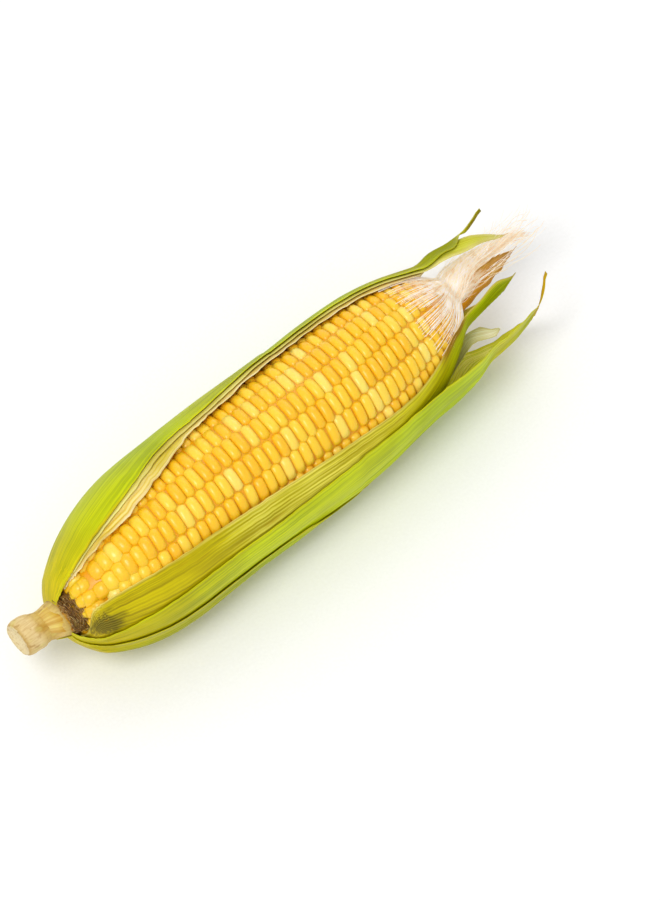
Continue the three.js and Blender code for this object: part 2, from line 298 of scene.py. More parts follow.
# The cob's own surface closes the gaps between the kernels.
profile = [(station_of(CORE_START), 0)]
for i in range(45):
    x = lerp(CORE_START, station_x(0.997), i / 44)
    profile.append((station_of(x), max(0.4 * MM, kernel_radius(x) - CORE_DEPTH)))
turned = lathe(profile + [(0.998, 0)], 54)
onto_middle_line(turned)
cob_mesh = bpy.data.meshes.new("cob")
turned.to_mesh(cob_mesh)
turned.free()
bm = bmesh.new()
bm.from_mesh(cob_mesh)
shade = bm.loops.layers.float_color.new("kernel")
# The cob between the kernels takes the kernels' deep orange side colour: painted shade in the gaps.
for face in bm.faces:
    for loop in face.loops:
        loop[shade] = (0, 0, 0, 1)
for row in range(ROWS):
    x = station_x(0) - (0.9 - 0.12 * (row % 2)) * BASE_DOME
    while x < station_x(0.99):
        t = station_of(x)
        radius = kernel_radius(x)
        crowded = 1 - smoothstep(t, 0.04, 0.16)
        disorder = 1 + 1.2 * crowded + 1.2 * smoothstep(t, 0.85, 0.97)
        wander = 0.9 * math.sin(13 * t + row * 1.7) + random.uniform(-0.5, 0.5)
        angle = ROW_START + row * 360 / ROWS + wander * disorder
        slope = (kernel_radius(x + 1 * MM) - kernel_radius(x - 1 * MM)) / (2 * MM)
        out = (place(t, angle, 1) - place(t, angle, 0)).normalized()
        forward = (Vector((1, 0, 0)) + out * clamp(slope, -STEEPEST, STEEPEST)).normalized()
        up = forward.cross(out).cross(forward).normalized()
        lean = KERNEL_LEAN + random.uniform(-3, 3) * disorder
        forward = Matrix.Rotation(math.radians(lean), 3, up) @ forward
        sideways = up.cross(forward)
        wide = math.pi * radius / ROWS * random.uniform(1.03, 1.08) * (1 + 0.1 * crowded)
        long = KERNEL_PITCH(t) / 2 * random.uniform(1.02, 1.08) * (1 + 0.08 * crowded)
        deep = min(KERNEL_DEPTH, radius * 0.8) / 2
        middle = place(t, angle, radius) + up * (random.uniform(-0.3, 0.15) * MM - deep)
        before = len(bm.verts)
        bm.from_mesh(round_kernel if t < 0.12 or t > 0.9 else random.choice(plump_kernels))
        bm.verts.ensure_lookup_table()
        fresh = bm.verts[before:]
        # Red holds the kernel's own yellow; green holds its height, which sets the painted shade on
        # its sides.
        paleness = random.random()
        for v in fresh:
            for loop in v.link_loops:
                loop[shade] = (paleness, 0.5 + 0.5 * v.co.z, t, 1)
        axes = Matrix((forward * long, sideways * wide, up * deep)).transposed().to_4x4()
        bmesh.ops.transform(bm, matrix=Matrix.Translation(middle) @ axes, verts=fresh)
        step = KERNEL_PITCH(t) * (1 - 0.14 * crowded) * random.uniform(0.94, 1.06)
        x += step / math.hypot(1, min(abs(slope), STEEPEST))
for face in bm.faces:
    face.smooth = True
bm.to_mesh(cob_mesh)
bm.free()

# Fresh sweetcorn kernels: a thin tight skin over wet flesh, so light sinks in a little and the
# crown carries a soft highlight. Paler on the crown and deep orange on the sides and where
# kernels meet: this is painted shade.
SKIN_DIMPLES = 700  # dimples to a metre, 1.4 mm each
kernel_skin, shader = new_material("sweetcorn_kernel_skin")
shader.inputs["Roughness"].default_value = 0.32
shader.inputs["IOR"].default_value = 1.42
shader.inputs["Subsurface Weight"].default_value = 0.25
shader.inputs["Subsurface Radius"].default_value = (1.0, 0.5, 0.12)
shader.inputs["Subsurface Scale"].default_value = 1.5 * MM
shader.inputs["Coat Weight"].default_value = 0.3
shader.inputs["Coat Roughness"].default_value = 0.25
kernel_data = add(kernel_skin, "ShaderNodeVertexColor", {"layer_name": "kernel"})
parts = add(kernel_skin, "ShaderNodeSeparateColor", Color=kernel_data.outputs["Color"])


def ramp(made, source, *stops):
    """A colour ramp through (position, hex) stops, fed by a value."""
    node = add(made, "ShaderNodeValToRGB", Fac=source)
    elements = node.color_ramp.elements
    while len(elements) < len(stops):
        elements.new(0.5)
    for element, (position, colour) in zip(elements, stops):
        element.position = position
        element.color = linear(colour)
    return node.outputs["Color"]


def mixed(made, first, second, factor, blend="MIX"):
    """Two colours mixed; the factor is a number or what feeds it."""
    settings = {"data_type": "RGBA", "blend_type": blend}
    node = add(made, "ShaderNodeMix", settings, _6=first, _7=second)
    if isinstance(factor, (int, float)):
        node.inputs[0].default_value = factor
    else:
        made.node_tree.links.new(factor, node.inputs[0])
    return node.outputs[2]


shades = ramp(
    kernel_skin, parts.outputs["Red"],
    (0, "fabe18"), (0.4, "fcc820"), (0.8, "ffd338"), (1, "ffe068"),
)
# Deep orange low on each kernel and on the cob between them: painted shade.
painted_side_shade = ramp(kernel_skin, parts.outputs["Green"], (0.4, "ffffff"), (0.85, "000000"))
painted_gap_shade = add(kernel_skin, "ShaderNodeRGB")
painted_gap_shade.outputs[0].default_value = linear("f4a808")
flesh = mixed(kernel_skin, shades, painted_gap_shade.outputs[0], painted_side_shade)
kernel_skin.node_tree.links.new(flesh, shader.inputs["Base Color"])
coordinates = add(kernel_skin, "ShaderNodeTexCoord")
dimples = add(
    kernel_skin, "ShaderNodeTexNoise", {"Scale": SKIN_DIMPLES, "Detail": 2},
    Vector=coordinates.outputs["Object"],
)
skin_bump = add(
    kernel_skin, "ShaderNodeBump", {"Strength": 0.25, "Distance": 0.15 * MM},
    Height=dimples.outputs["Fac"],
)
kernel_skin.node_tree.links.new(skin_bump.outputs["Normal"], shader.inputs["Normal"])


def finished(name, mesh, made, nodes):
    """Links a finished mesh as one piece that rides on the ear and stands for its CAD nodes."""
    piece = bpy.data.objects.new(name, mesh)
    bpy.context.scene.collection.objects.link(piece)
    mesh.materials.append(made)
    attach(piece, "root")
    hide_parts(*nodes)


finished("cob_kernels", cob_mesh, kernel_skin, ["cob"])

# Husk leaves
# The husk is nested fibrous leaves, each grown from the shank and wrapped round the cob inside the
# next one out. Each is one thin sheet with fine parallel ribs, paler and thinner at its rims. A
# leaf is one grid for its outside and one for its inside, joined round the rim.
HUSK = 0.5 * MM  # one leaf with its share of crinkle
GAP = 0.3 * MM  # between one leaf and the next
NECK_RADIUS = 5.6 * MM  # the shank's narrowest place
HUSK_START = -0.1  # station where the innermost leaf grows from the shank
HUSK_STEP = 0.11  # each leaf outwards starts this much further down the shank
FLARE_END = 0.21  # station where the husk has widened to the cob
NEAR_FOLD = (110, 120)  # angles over which a leaf passes from the flank to under the ear
FAR_FOLD = (240, 260)
LEAF_STEP = 1.5 * MM  # between the grid's rows along a leaf
RIM_WIDTH = 1.6  # millimetres
RIB_PITCH = 1.4 * MM
RIB_HEIGHT = 0.07 * MM
LEAF_THICKNESS = 0.4 * MM
CRINKLE = 0.28 * MM


@functools.lru_cache(maxsize=None)
def husk_radius(t):
    x, end = station_x(t), station_x(FLARE_END)
    if x < end:
        to_go = min(1, (end - x) / (end - station_x(HUSK_START - 2.6 * HUSK_STEP)))
        return lerp(NECK_RADIUS, COB_RADIUS, (1 - to_go**2) ** (2 / 3)) + GAP
    snug = COB_RADIUS if t < TAPER_START else cob_radius(t)
    closed = COB_RADIUS * (0.38 - 0.6 * (t - 1)) * smoothstep(t, 0.8, 0.95)
    return (snug**6 + closed**6) ** (1 / 6) + GAP


def tints(*stops):
    """A colour along the ear through (station, hex) stops."""
    knots = [(t, Vector(linear(colour)[:3])) for t, colour in stops]

    @functools.lru_cache(maxsize=None)
    def colour(t):
        if t <= knots[0][0]:
            return knots[0][1]
        for (start, low), (end, high) in zip(knots, knots[1:]):
            if t <= end:
                return low.lerp(high, (t - start) / (end - start))
        return knots[-1][1]

    return colour


def no_lift(t, angle=0):
    return 0.0


def lifted(*knots):
    """A lift off the leaf's neighbours through (station, millimetres) pairs."""
    height = along(*((t, mm * MM) for t, mm in knots))

    def lift(t, angle=0):
        return height(t)

    return lift


def no_marks(t, angle, share, colour):
    return colour


def crinkled(t, angle):
    """The husk's shared unevenness, so that nested leaves move together."""
    broad = noise.noise(Vector((t * 9, angle / 28, 0)))
    fine = noise.noise(Vector((t * 22, angle / 9, 4)))
    return CRINKLE * (broad + 0.2 * fine)


def frayed(t, seed, edge):
    """How a leaf's torn edge wanders, in coarse and fine waves."""
    coarse = noise.noise(Vector((t * 40, seed, edge)))
    return coarse + 0.6 * noise.noise(Vector((t * 130, seed, edge + 1)))


def leaf_mesh(
    layers, to, near, far, outside, inside, rim,
    lift=no_lift, marks=no_marks, ragged=0.35, rolled=9, root=None,
):
    """One leaf from its root to the station `to`, between the angles near(t) and far(t).

    layers count the leaf's place outwards from the cob, on the flank and under the ear. ragged is
    how far its edges wander, in millimetres. Past the station rolled its tip thickens to a thread.
    """
    flank, below = layers
    start = HUSK_START - HUSK_STEP * (below - 1) if root is None else root
    rim_colour = Vector(linear(rim)[:3])
    seed = flank * 7.3 + below * 3.1 + to * 11
    stations = [lerp(start, to, i / 40) for i in range(41)]
    breadth = max(math.radians(abs(far(t) - near(t))) * husk_radius(t) for t in stations)
    ribs = max(4, round(breadth / RIB_PITCH))
    length = station_x(to) - station_x(start)
    detail = 1.0
    columns = max(12, round(ribs * 4 * detail))
    rows = round(length / LEAF_STEP * detail)
    bm = bmesh.new()
    uv = bm.loops.layers.uv.new("leaf")
    tint = bm.loops.layers.float_color.new("tint")
    for side, colours in (("outside", outside), ("inside", inside)):
        before = len(bm.verts)
        bmesh.ops.create_grid(bm, x_segments=columns, y_segments=rows, size=0.5)
        bm.verts.ensure_lookup_table()
        for v in bm.verts[before:]:
            share = round((v.co.x + 0.5) * columns) / columns
            step = round((v.co.y + 0.5) * rows)
            t = start + (to - start) * step / rows
            low, high = near(t), far(t)
            pinch = 0.46 * smoothstep(t, to - 0.03, to)
            low, high = lerp(low, high, pinch), lerp(high, low, pinch)
            radius = husk_radius(t)
            fray_near, fray_far = frayed(t, seed, 1), frayed(t, seed, 5)
            wide = abs(high - low) * math.radians(1) * radius
            spread = math.degrees(min(ragged * MM, 0.12 * wide) / radius)
            angle = lerp(low + spread * fray_near, high + spread * fray_far, share)
            edge = min(share, 1 - share) * wide / MM
            tuck = smoothstep(angle, *NEAR_FOLD) * (1 - smoothstep(angle, *FAR_FOLD))
            wraps = min(lerp(flank, below, tuck) - 1, (t - start) / HUSK_STEP)
            radius += wraps * (HUSK + GAP) + lift(t, angle) + HUSK * 0.85
            radius += crinkled(t, angle) * smoothstep(t, -0.3, 0.1)
            radius += RIB_HEIGHT * math.cos(2 * math.pi * share * ribs) * smoothstep(edge, 0.5, 3)
            if side == "inside":
                radius -= LEAF_THICKNESS * lerp(0.35, 1, smoothstep(edge, 0, 3))
                thread = smoothstep(t, rolled, rolled + 0.03)
                radius -= 1.1 * MM * thread * math.sin(math.pi * share)
            v.co = place(t, angle, radius)
            # Where the ear lies on the table, the leaf is pressed flat.
            v.co.z = max(v.co.z, (0.35 if side == "inside" else 0.02) * MM)
            colour = colours(t)
            paler = (1 - smoothstep(edge + 0.5 * fray_near, 0, RIM_WIDTH)) * 0.85
            colour = marks(t, angle, share, colour.lerp(rim_colour, paler))
            for loop in v.link_loops:
                loop[uv].uv = (share * ribs, (t - start) * COB_LENGTH / MM)
                loop[tint] = (*colour, 1)
    borders = [e for e in bm.edges if e.is_boundary]
    joined = bmesh.ops.bridge_loops(bm, edges=borders)
    for face in joined["faces"]:
        for loop in face.loops:
            loop[tint] = (*rim_colour, 1)
    bmesh.ops.recalc_face_normals(bm, faces=bm.faces[:])
    for face in bm.faces:
        face.smooth = True
    mesh = bpy.data.meshes.new("leaf")
    bm.to_mesh(mesh)
    bm.free()
    return mesh


HUSK_BLOTCHES = 55  # blotches to a metre, 18 mm each


def husk_material(name, roughness, vein_dark, vein_pale, ribs_show, vivid):
    """Fresh or drying corn husk: its tint along the leaf, fine parallel veins, and raised ribs."""
    made, shader = new_material(name)
    shader.inputs["Roughness"].default_value = roughness
    shader.inputs["Specular IOR Level"].default_value = 0.15
    shader.inputs["Subsurface Weight"].default_value = 0.12
    shader.inputs["Subsurface Radius"].default_value = (0.8, 1.0, 0.1)
    shader.inputs["Subsurface Scale"].default_value = 0.6 * MM
    tint = add(made, "ShaderNodeVertexColor", {"layer_name": "tint"})
    leaf_map = add(made, "ShaderNodeUVMap", {"uv_map": "leaf"})
    # Across the leaf one unit is one rib; along it one unit is a millimetre.
    drawn_out = add(made, "ShaderNodeMapping", {"Scale": (1, 0.012, 1)}, Vector=leaf_map.outputs[0])
    veins = add(
        made, "ShaderNodeTexNoise", {"Scale": 1.9, "Detail": 3}, Vector=drawn_out.outputs[0]
    )
    vein_tone = ramp(made, veins.outputs["Fac"], (0.3, vein_dark), (0.62, "ffffff"))
    veined = mixed(made, tint.outputs[0], vein_tone, 0.9, "MULTIPLY")
    ribs = add(
        made, "ShaderNodeTexWave", {"Scale": math.pi / 10, "Distortion": 0.25, "Detail": 1},
        Vector=leaf_map.outputs[0],
    )
    pale = add(made, "ShaderNodeRGB")
    pale.outputs[0].default_value = linear(vein_pale)
    rib_share = add(made, "ShaderNodeMath", {"operation": "MULTIPLY"}, _0=ribs.outputs["Fac"])
    rib_share.inputs[1].default_value = ribs_show
    ribbed = mixed(made, veined, pale.outputs[0], rib_share.outputs[0])
    coordinates = add(made, "ShaderNodeTexCoord")
    blotches = add(
        made, "ShaderNodeTexNoise", {"Scale": HUSK_BLOTCHES, "Detail": 3},
        Vector=coordinates.outputs["Object"],
    )
    blotch_tone = ramp(made, blotches.outputs["Fac"], (0.35, "e4e0b8"), (0.6, "ffffff"))
    coloured = mixed(made, ribbed, blotch_tone, 0.6, "MULTIPLY")
    fresh = add(
        made, "ShaderNodeHueSaturation", {"Saturation": vivid, "Value": 1.05}, Color=coloured
    )
    made.node_tree.links.new(fresh.outputs[0], shader.inputs["Base Color"])
    bump_ribs = add(
        made, "ShaderNodeBump", {"Strength": 0.5, "Distance": 0.12 * MM}, Height=ribs.outputs["Fac"]
    )
    bump = add(
        made, "ShaderNodeBump", {"Strength": 0.5, "Distance": 0.15 * MM},
        Height=veins.outputs["Fac"], Normal=bump_ribs.outputs["Normal"],
    )
    made.node_tree.links.new(bump.outputs["Normal"], shader.inputs["Normal"])
    return made


green_husk = husk_material("fresh_green_corn_husk", 0.45, "bcc860", "dce62c", 0.1, 1.4)
straw_husk = husk_material("straw_green_corn_husk", 0.5, "a89c48", "ece890", 0.16, 1.15)
pale_husk = husk_material("pale_inner_corn_husk", 0.5, "dcc890", "fff2c8", 0.2, 1.1)
golden_husk = husk_material("golden_corn_husk", 0.5, "cc9040", "f6dc90", 0.08, 1.05)


def mark(colour, hex_colour, weight):
    return colour.lerp(Vector(linear(hex_colour)[:3]), clamp(weight))


# Innermost leaf at the back, whose golden tip lies under the silk.
mesh = leaf_mesh(
    layers=(1, 1),
    to=1.18,
    near=along(
        (-0.1, 130), (0.1, 125), (0.86, 128), (0.965, 150), (1.03, 161), (1.12, 160), (1.18, 168)
    ),
    far=along(
        (-0.1, 225), (0.1, 235), (0.78, 235), (0.86, 222), (0.9, 212), (1.03, 212), (1.12, 200),
        (1.18, 172),
    ),
    outside=tints((0, "e8d890"), (0.8, "d8cc70"), (1.0, "e0b850"), (1.18, "d09838")),
    inside=tints(
        (0, "f0e4a8"), (0.9, "f4d468"), (1.0, "fcc440"), (1.06, "ffd060"), (1.12, "ffe098"),
        (1.18, "d89c48"),
    ),
    rim="c89848",
    ragged=0.8,
)
finished("husk_innermost", mesh, golden_husk, ["husk_inner_back"])


# Straw-green leaf along the kernels' near edge, with a painted shadow near its base and brown
# on its shoulder.
def inner_near_marks(t, angle, share, colour):
    # A dark patch near the base: painted shadow.
    painted_shadow_spot = Vector(((station_x(t) - station_x(0) + 1.5 * MM) / (6.5 * MM), (angle - 66) / 22))
    uneven = 0.5 * noise.noise(Vector((t * 60, angle / 5, 3)))
    colour = mark(colour, "4a3a08", (1 - smoothstep(painted_shadow_spot.length + uneven, 0.4, 1.1)) * 0.85)
    shoulder = smoothstep(t, 0.84, 0.88) * (1 - smoothstep(t, 0.95, 0.98))
    colour = mark(colour, "9a5a10", shoulder * (1 - smoothstep(share, 0.04, 0.1)) * 0.9)
    streak = noise.noise(Vector((t * 12, angle / 2.2, 8)))
    return mark(colour, "b07a20", 0.35 * smoothstep(streak, 0.35, 0.6))


mesh = leaf_mesh(
    layers=(1, 2),
    to=1.12,
    near=along(
        (-0.3, 100), (-0.26, 84), (-0.22, 62), (-0.17, 46), (-0.1, 39), (0, 37), (0.03, 37.5),
        (0.1, 41), (0.26, 46.5), (0.47, 52.5), (0.6, 56), (0.78, 62), (0.86, 60), (0.9, 58),
        (0.935, 61), (1, 70), (1.06, 64), (1.12, 82),
    ),
    far=along(
        (-0.21, 165), (0.1, 172), (0.86, 172), (0.965, 180), (1.03, 160), (1.09, 120), (1.12, 96)
    ),
    lift=lifted((-0.3, -1.6), (-0.2, 0), (0.965, 0), (1.03, 0.8), (1.12, 2.2)),
    root=-0.3,
    outside=tints(
        (-0.2, "d8c460"), (0.02, "c4b438"), (0.2, "ccbe40"), (0.36, "e0da70"), (0.6, "e6dc70"),
        (0.85, "d4d038"), (0.92, "c8d818"), (1.08, "bcd414"), (1.12, "c8cc50"),
    ),
    inside=tints((0, "e8dc98"), (0.8, "e4dc80"), (1.0, "d8d860"), (1.12, "d8c878")),
    rim="efdf90",
    marks=inner_near_marks,
)
finished("husk_near_kernels", mesh, straw_husk, ["husk_inner_near"])

# Short leaf whose tip curls away between the two near leaves, white inside the curl. Its near
# edge rises most, so that the inside turns to the light.
curl_height = lifted(
    (-0.32, 0), (0.86, 0), (0.9, 0.5), (0.935, 2.2), (0.965, 4.5), (1, 7.5), (1.03, 9.5)
)


def curl_lift(t, angle):
    return curl_height(t) * lerp(1.25, 0.4, clamp((angle - 98) / 32))


mesh = leaf_mesh(
    layers=(3, 3),
    to=1.03,
    near=along((-0.32, 128), (0.1, 125), (0.86, 126), (0.965, 116), (1, 102), (1.03, 98)),
    far=along((-0.32, 152), (0.1, 150), (0.86, 150), (0.965, 144), (1, 134), (1.03, 128)),
    lift=curl_lift,
    outside=tints((0, "c4bc50"), (0.8, "b8c430"), (1.03, "d4d078")),
    inside=tints((0, "e8e4b0"), (0.9, "fcf8d0"), (1.03, "fffff0")),
    rim="ece8b0",
)
finished("husk_curled", mesh, pale_husk, ["husk_curled_near"])

# Bright green leaf on the near flank. It stands off past the cob's shoulder, its pale streaked
# inside showing, and its dried tip ends in a thread.
near_lift = lifted(
    (-0.54, 0), (0.6, 0), (0.73, 0.2), (0.78, 0.9), (0.82, 2.1), (0.86, 4.4), (0.9, 7.2),
    (0.935, 10), (0.965, 12), (1, 13.4), (1.06, 14.6), (1.12, 14.4), (1.15, 12.8), (1.18, 9.8),
)


def outer_near_marks(t, angle, share, colour):
    line = 1 - smoothstep(abs(share - 0.03), 0.0, 0.02)
    weight = 0.35 * line * smoothstep(t, 0.0, 0.1) * (1 - smoothstep(t, 0.3, 0.5))
    colour = mark(colour, "8a7a18", weight)
    return mark(colour, "dcb478", smoothstep(t, 1.09, 1.125))


mesh = leaf_mesh(
    layers=(2, 4),
    to=1.18,
    near=along(
        (-0.43, 88), (-0.21, 88), (0, 80), (0.06, 74), (0.18, 71), (0.39, 74), (0.6, 72), (0.75, 75),
        (0.84, 78), (0.95, 85), (1, 90), (1.09, 94), (1.12, 104), (1.15, 107), (1.18, 108),
    ),
    far=along(
        (-0.43, 150), (0.1, 158), (0.9, 160), (0.95, 166), (1, 154), (1.09, 138), (1.12, 116),
        (1.15, 110.5), (1.18, 111),
    ),
    lift=near_lift,
    outside=tints(
        (-0.4, "d8c878"), (0, "ccbc50"), (0.12, "ccc43c"), (0.3, "d2dc10"), (0.6, "d2dc10"),
        (0.8, "bcd010"), (0.95, "c6d810"), (1.0, "d0c820"), (1.09, "c8cc58"),
    ),
    inside=tints(
        (0, "e8e0a0"), (0.86, "b8c418"), (0.9, "e8e470"), (0.94, "fff8b4"), (1.04, "fffcc8"),
        (1.1, "fff0b0"),
    ),
    rim="e0dc70",
    marks=outer_near_marks,
    rolled=1.12,
)
finished("husk_near_outer", mesh, green_husk, ["husk_outer_near"])

# Outermost leaf, which the ear lies on. Its underside is pressed flat.
mesh = leaf_mesh(
    layers=(3, 5),
    to=0.9,
    near=along(
        (-0.54, 110), (-0.1, 104), (0.1, 100), (0.3, 104), (0.6, 124), (0.78, 138), (0.9, 158)
    ),
    far=along((-0.54, 215), (0.1, 228), (0.5, 226), (0.7, 212), (0.82, 192), (0.9, 166)),
    lift=near_lift,
    outside=tints(
        (-0.5, "dcc880"), (-0.1, "ccbc58"), (0.12, "c0bc30"), (0.4, "b8c41c"), (0.8, "b4bc24"),
        (0.9, "b8a848"),
    ),
    inside=tints((0, "e8e0a0"), (0.9, "d8d080")),
    rim="dcd080",
)
finished("husk_under", mesh, green_husk, ["husk_outer_under"])

# Leaves on the far flank: a pale membrane against the kernels, a pale green leaf whose lime tip
# leans over the silk, and a bright green leaf that stands off and ends in a withered thread.
far_lift_at_edge = lifted(
    (-0.43, 0), (0.06, 0), (0.18, 0.3), (0.39, 0.6), (0.6, 0.5), (0.82, 0.3), (0.9, 0.7),
    (0.95, 1.8), (1, 3.9), (1.05, 2.6), (1.09, 2.4), (1.12, 3.4), (1.15, 4.8),
)


def far_lift(t, angle):
    return far_lift_at_edge(t) * smoothstep(angle, FAR_FOLD[0] - 4, FAR_FOLD[0] + 52)


def membrane_marks(t, angle, share, colour):
    streak = smoothstep(noise.noise(Vector((t * 5, angle / 1.6, 21))), 0.15, 0.5)
    return mark(colour, "c8ac38", 0.45 * streak)


mesh = leaf_mesh(
    layers=(1, 2),
    to=1,
    near=along((-0.21, 192), (0.1, 188), (0.82, 190), (0.9, 215), (0.965, 262), (1, 285)),
    far=along(
        (-0.21, 349), (-0.1, 350), (0, 352), (0.1, 354), (0.13, 354), (0.18, 351), (0.29, 340),
        (0.39, 329), (0.49, 323), (0.6, 317), (0.7, 316.5), (0.8, 319.5), (0.9, 326),
        (0.935, 328), (1, 318),
    ),
    lift=lambda t, angle: 0.9 * far_lift(t, angle),
    outside=tints(
        (-0.2, "e0c888"), (0.1, "f0d878"), (0.2, "f0dc90"), (0.28, "e4d468"), (0.4, "f0dc88"),
        (0.6, "f4e09c"), (0.7, "eede80"), (0.88, "f0d480"), (1, "e8d898"),
    ),
    inside=tints((0, "f4e8b8"), (1, "f0e4b0")),
    rim="fbf0c8",
    ragged=0.9,
    marks=membrane_marks,
)
finished("husk_far_membrane", mesh, pale_husk, ["husk_inner_far"])


def middle_far_marks(t, angle, share, colour):
    return mark(colour, "d89a80", 0.7 * smoothstep(t, 1.125, 1.15))


mesh = leaf_mesh(
    layers=(2, 3),
    to=1.15,
    near=along(
        (-0.32, 215), (0.1, 212), (0.82, 212), (0.9, 238), (0.965, 262), (1.03, 285), (1.06, 305),
        (1.09, 328), (1.12, 350), (1.15, 370),
    ),
    far=along(
        (-0.32, 347), (0, 349), (0.1, 347), (0.18, 343), (0.29, 332), (0.39, 327), (0.49, 320),
        (0.6, 313), (0.7, 313), (0.8, 316), (0.9, 323), (1, 337), (1.03, 344), (1.06, 350),
        (1.09, 355), (1.12, 365), (1.15, 375),
    ),
    lift=lambda t, angle: 0.95 * far_lift(t, angle) * (1 - smoothstep(t, 1.08, 1.13)),
    outside=tints(
        (-0.3, "d4c470"), (0.1, "e0d878"), (0.5, "e4dc80"), (0.85, "dcd868"), (1, "c8cc30"),
        (1.08, "d8dc60"), (1.15, "dcd890"),
    ),
    inside=tints((0, "e4e0a0"), (0.9, "e0e088"), (1.15, "e8e4a0")),
    rim="e8e498",
    marks=middle_far_marks,
)
finished("husk_far_middle", mesh, pale_husk, ["husk_middle_far"])


def outer_far_marks(t, angle, share, colour):
    weight = 0.6 * smoothstep(t, 0.93, 1.0) * (1 - smoothstep(t, 1.05, 1.08))
    colour = mark(colour, "8a9808", weight)
    line = 1 - smoothstep(abs(1 - share), 0.0, 0.025)
    weight = 0.6 * line * (smoothstep(t, 0.98, 1.0) + 1 - smoothstep(t, 0.1, 0.2))
    colour = mark(colour, "c8902c", weight)
    return mark(colour, "9c8c48", smoothstep(t, 1.085, 1.11))


mesh = leaf_mesh(
    layers=(3, 4),
    to=1.15,
    near=along(
        (-0.43, 210), (0.1, 205), (0.82, 205), (0.9, 232), (0.965, 258), (1.03, 280), (1.06, 288),
        (1.09, 290), (1.15, 291),
    ),
    far=along(
        (-0.43, 352), (-0.21, 350), (0, 348), (0.1, 345), (0.18, 340), (0.29, 328), (0.39, 324),
        (0.49, 316), (0.6, 310), (0.7, 310), (0.8, 313), (0.9, 319), (1, 329), (1.04, 330),
        (1.06, 320), (1.09, 297), (1.15, 295),
    ),
    lift=far_lift,
    outside=tints(
        (-0.4, "d8c470"), (0, "ccc044"), (0.08, "c8cc2c"), (0.18, "c2cc24"), (0.28, "b8c80c"),
        (0.39, "c0ca14"), (0.5, "b4b80c"), (0.6, "b8c614"), (0.8, "b0bc1c"), (0.9, "c0bc3c"),
        (1, "b4ac1c"), (1.05, "c4b828"),
    ),
    inside=tints((0, "e4dc98"), (0.8, "d8d878"), (1.15, "c8c060")),
    rim="dcdc70",
    marks=outer_far_marks,
    rolled=1.07,
)
finished("husk_far_outer", mesh, green_husk, ["husk_outer_far"])

# Cut shank
# The stalk the ear grew on, snapped off short: a solid fibrous stub with a thick rounded collar at
# the cut, a narrower neck with a ring scar, and a swelling under the cob that the leaves grow from.
CUT_RADIUS = 6.8 * MM
SHANK_ENDS = (-0.99, -0.01)
shank_outline = along(
    (-0.99, CUT_RADIUS * 0.82), (-0.975, CUT_RADIUS * 0.89), (-0.95, CUT_RADIUS * 0.95),
    (-0.89, CUT_RADIUS), (-0.8, CUT_RADIUS), (-0.74, CUT_RADIUS * 0.97),
    (-0.68, NECK_RADIUS * 1.08), (-0.62, NECK_RADIUS), (-0.54, NECK_RADIUS * 1.06),
    (-0.45, NECK_RADIUS * 1.2), (-0.36, 7.3 * MM), (-0.21, 8.2 * MM), (-0.1, 9 * MM),
    (-0.01, 9.6 * MM),
)
# The cut face is a little hollow.
profile = [(-0.95, 0)]
profile += [(-0.955, CUT_RADIUS * 0.3), (-0.965, CUT_RADIUS * 0.6), (-0.985, CUT_RADIUS * 0.8)]
for i in range(91):
    t = lerp(*SHANK_ENDS, i / 90)
    profile.append((t, shank_outline(t)))
bm = lathe(profile + [(SHANK_ENDS[1], 0)], 96)
for v in bm.verts:
    turn = math.atan2(v.co.y, v.co.z)
    spread = Vector((0, v.co.y, v.co.z))
    if spread.length > 0.1 * MM:
        t = station_of(v.co.x)
        fibre = 0.06 * MM * noise.noise(Vector((math.sin(turn) * 14, math.cos(turn) * 14, t * 3)))
        lump = 0.35 * MM * noise.noise(Vector((math.sin(turn) * 1.3, math.cos(turn) * 1.3, t * 7)))
        ring = 0.12 * MM * (1 - smoothstep(abs(t + 0.68), 0.0, 0.03))
        v.co += spread.normalized() * (fibre + lump - ring)
        rough = 0.25 * MM * noise.noise(Vector((v.co.y * 900, v.co.z * 900, 3)))
        v.co.x += rough * (1 - smoothstep(t, -0.98, -0.9))
onto_middle_line(bm)
tint = bm.loops.layers.float_color.new("tint")
shank_tints = tints(
    (-1, "a88238"), (-0.975, "c09c50"), (-0.94, "dcc080"), (-0.8, "e2c88c"), (-0.68, "d4b460"),
    (-0.6, "c8a440"), (-0.5, "dcbc68"), (-0.42, "ccb058"), (-0.34, "9a702a"), (-0.2, "6a4818"),
    (0, "5a3c14"),
)
for v in bm.verts:
    t = station_of(v.co.x)
    out = Vector((0, v.co.y - middle_y(t), v.co.z - AXIS_Z))
    colour = shank_tints(t)
    if t < -0.9 and out.length < CUT_RADIUS * 0.86:
        colour = Vector(linear("e8d8a8")[:3]).lerp(colour, 0.2)
    angle = math.degrees(math.atan2(-out.y, out.z))
    scar = Vector(((t + 0.7) * 7, (angle - 30) / 22)).length
    colour = mark(colour, "b88a20", 0.8 * (1 - smoothstep(scar, 0.3, 1)))
    patch = noise.noise(Vector((t * 6, angle / 24, 9)))
    colour = mark(colour, "d4c468", 0.5 * smoothstep(patch, 0.15, 0.5))
    for loop in v.link_loops:
        loop[tint] = (*colour, 1)
shank_mesh = bpy.data.meshes.new("shank")
bm.to_mesh(shank_mesh)
bm.free()

